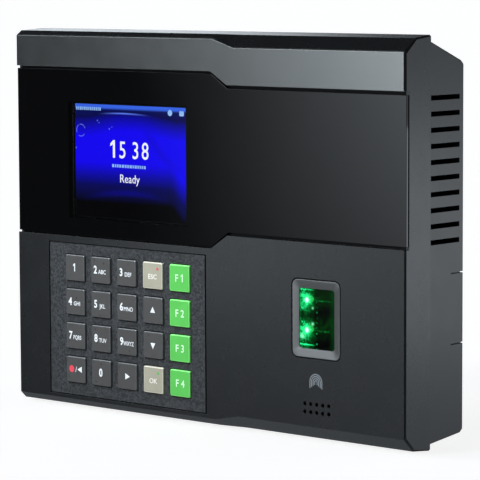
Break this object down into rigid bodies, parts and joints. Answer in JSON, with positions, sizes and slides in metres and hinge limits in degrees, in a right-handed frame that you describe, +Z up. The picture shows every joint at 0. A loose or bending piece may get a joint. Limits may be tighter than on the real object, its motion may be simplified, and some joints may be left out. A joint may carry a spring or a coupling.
{
  "type": "fingerprint scanner terminal",
  "caption": "Wall-mounted entry terminal with a colour display behind a full-width lens, a numeric keypad, an optical finger sensor and a hooked wall plate.",
  "frame": {"origin": "centre of the wall plate's back face, which rests on the wall", "axes": "+X to the right of a person facing the terminal, +Y into the wall, +Z up"},
  "size_m": [0.193, 0.0347, 0.1466],
  "materials": {
    "case_plastic": "fine satin texture, near black",
    "trim_paint": "satin grey paint",
    "lens_acrylic": "polished black with a clear display window",
    "display_glass": "lit colour display",
    "ribbon_film": "amber film",
    "keypad_plastic": "coarse grained",
    "silicone": "matt grey",
    "board": "solder-resist green",
    "key_dark": "smoked satin",
    "key_beige": "beige satin",
    "key_green": "bright green satin",
    "bezel_paint": "satin grey",
    "sensor_glass": "coated optical glass",
    "black_plastic": "moulded black",
    "lamp": "lit green lamp",
    "cable_jacket": "black sheath",
    "plated_steel": "tin plate",
    "relay_plastic": "blue moulded case",
    "terminal_plastic": "green moulded",
    "galvanised_steel": "zinc plated sheet",
    "screw_steel": "zinc plated"
  },
  "bodies": {
    "terminal": {"front_cover": "case_plastic", "rear_housing": "case_plastic", "top_trim_strip": "trim_paint", "lens_panel": "lens_acrylic", "display_module": "display_glass", "display_ribbon": "ribbon_film", "keypad_ribbon": "ribbon_film", "keypad_plate": "keypad_plastic", "keypad_mat": "silicone", "keypad_board": "board", "main_board": "board", "sensor_board": "board", "sensor_bezel": "bezel_paint", "sensor_window": "sensor_glass", "sensor_housing": "black_plastic", "speaker": "black_plastic", "tamper_switch": "black_plastic", "sensor_lamp_upper": "lamp", "sensor_lamp_lower": "lamp", "sensor_cable": "cable_jacket", "speaker_cable": "cable_jacket", "processor_can": "plated_steel", "network_jack": "plated_steel", "usb_socket": "plated_steel", "clock_battery": "plated_steel", "relay": "relay_plastic", "power_terminal": "terminal_plastic", "lock_terminal": "terminal_plastic", "reader_terminal": "terminal_plastic", "wall_plate": "galvanised_steel", "lock_screw": "screw_steel", "case_screw_1": "screw_steel", "case_screw_2": "screw_steel", "case_screw_3": "screw_steel", "case_screw_4": "screw_steel", "board_screw_1": "screw_steel", "board_screw_2": "screw_steel", "board_screw_3": "screw_steel", "board_screw_4": "screw_steel"},
    "key_1_cap": {"key_1": "key_dark"},
    "key_2_cap": {"key_2": "key_dark"},
    "key_3_cap": {"key_3": "key_dark"},
    "key_escape_cap": {"key_escape": "key_beige"},
    "key_f1_cap": {"key_f1": "key_green"},
    "key_4_cap": {"key_4": "key_dark"},
    "key_5_cap": {"key_5": "key_dark"},
    "key_6_cap": {"key_6": "key_dark"},
    "key_up_cap": {"key_up": "key_dark"},
    "key_f2_cap": {"key_f2": "key_green"},
    "key_7_cap": {"key_7": "key_dark"},
    "key_8_cap": {"key_8": "key_dark"},
    "key_9_cap": {"key_9": "key_dark"},
    "key_down_cap": {"key_down": "key_dark"},
    "key_f3_cap": {"key_f3": "key_green"},
    "key_left_power_cap": {"key_left_power": "key_dark"},
    "key_0_cap": {"key_0": "key_dark"},
    "key_right_cap": {"key_right": "key_dark"},
    "key_ok_cap": {"key_ok": "key_beige"},
    "key_f4_cap": {"key_f4": "key_green"},
    "tamper_pin": {"tamper_plunger": "black_plastic"}
  },
  "joints": [
    {"name": "key_1_press", "type": "slide", "parent": "terminal", "child": "key_1_cap", "axis": [0, 1, 0], "range_m": [0, 0.001], "stiffness_N_per_m": 600, "springref_m": -0.0002},
    {"name": "key_2_press", "type": "slide", "parent": "terminal", "child": "key_2_cap", "axis": [0, 1, 0], "range_m": [0, 0.001], "stiffness_N_per_m": 600, "springref_m": -0.0002},
    {"name": "key_3_press", "type": "slide", "parent": "terminal", "child": "key_3_cap", "axis": [0, 1, 0], "range_m": [0, 0.001], "stiffness_N_per_m": 600, "springref_m": -0.0002},
    {"name": "key_escape_press", "type": "slide", "parent": "terminal", "child": "key_escape_cap", "axis": [0, 1, 0], "range_m": [0, 0.001], "stiffness_N_per_m": 600, "springref_m": -0.0002},
    {"name": "key_f1_press", "type": "slide", "parent": "terminal", "child": "key_f1_cap", "axis": [0, 1, 0], "range_m": [0, 0.001], "stiffness_N_per_m": 600, "springref_m": -0.0002},
    {"name": "key_4_press", "type": "slide", "parent": "terminal", "child": "key_4_cap", "axis": [0, 1, 0], "range_m": [0, 0.001], "stiffness_N_per_m": 600, "springref_m": -0.0002},
    {"name": "key_5_press", "type": "slide", "parent": "terminal", "child": "key_5_cap", "axis": [0, 1, 0], "range_m": [0, 0.001], "stiffness_N_per_m": 600, "springref_m": -0.0002},
    {"name": "key_6_press", "type": "slide", "parent": "terminal", "child": "key_6_cap", "axis": [0, 1, 0], "range_m": [0, 0.001], "stiffness_N_per_m": 600, "springref_m": -0.0002},
    {"name": "key_up_press", "type": "slide", "parent": "terminal", "child": "key_up_cap", "axis": [0, 1, 0], "range_m": [0, 0.001], "stiffness_N_per_m": 600, "springref_m": -0.0002},
    {"name": "key_f2_press", "type": "slide", "parent": "terminal", "child": "key_f2_cap", "axis": [0, 1, 0], "range_m": [0, 0.001], "stiffness_N_per_m": 600, "springref_m": -0.0002},
    {"name": "key_7_press", "type": "slide", "parent": "terminal", "child": "key_7_cap", "axis": [0, 1, 0], "range_m": [0, 0.001], "stiffness_N_per_m": 600, "springref_m": -0.0002},
    {"name": "key_8_press", "type": "slide", "parent": "terminal", "child": "key_8_cap", "axis": [0, 1, 0], "range_m": [0, 0.001], "stiffness_N_per_m": 600, "springref_m": -0.0002},
    {"name": "key_9_press", "type": "slide", "parent": "terminal", "child": "key_9_cap", "axis": [0, 1, 0], "range_m": [0, 0.001], "stiffness_N_per_m": 600, "springref_m": -0.0002},
    {"name": "key_down_press", "type": "slide", "parent": "terminal", "child": "key_down_cap", "axis": [0, 1, 0], "range_m": [0, 0.001], "stiffness_N_per_m": 600, "springref_m": -0.0002},
    {"name": "key_f3_press", "type": "slide", "parent": "terminal", "child": "key_f3_cap", "axis": [0, 1, 0], "range_m": [0, 0.001], "stiffness_N_per_m": 600, "springref_m": -0.0002},
    {"name": "key_left_power_press", "type": "slide", "parent": "terminal", "child": "key_left_power_cap", "axis": [0, 1, 0], "range_m": [0, 0.001], "stiffness_N_per_m": 600, "springref_m": -0.0002},
    {"name": "key_0_press", "type": "slide", "parent": "terminal", "child": "key_0_cap", "axis": [0, 1, 0], "range_m": [0, 0.001], "stiffness_N_per_m": 600, "springref_m": -0.0002},
    {"name": "key_right_press", "type": "slide", "parent": "terminal", "child": "key_right_cap", "axis": [0, 1, 0], "range_m": [0, 0.001], "stiffness_N_per_m": 600, "springref_m": -0.0002},
    {"name": "key_ok_press", "type": "slide", "parent": "terminal", "child": "key_ok_cap", "axis": [0, 1, 0], "range_m": [0, 0.001], "stiffness_N_per_m": 600, "springref_m": -0.0002},
    {"name": "key_f4_press", "type": "slide", "parent": "terminal", "child": "key_f4_cap", "axis": [0, 1, 0], "range_m": [0, 0.001], "stiffness_N_per_m": 600, "springref_m": -0.0002},
    {"name": "tamper_press", "type": "slide", "parent": "terminal", "child": "tamper_pin", "axis": [0, -1, 0], "range_m": [0, 0.001], "stiffness_N_per_m": 400, "springref_m": -0.0002}
  ]
}
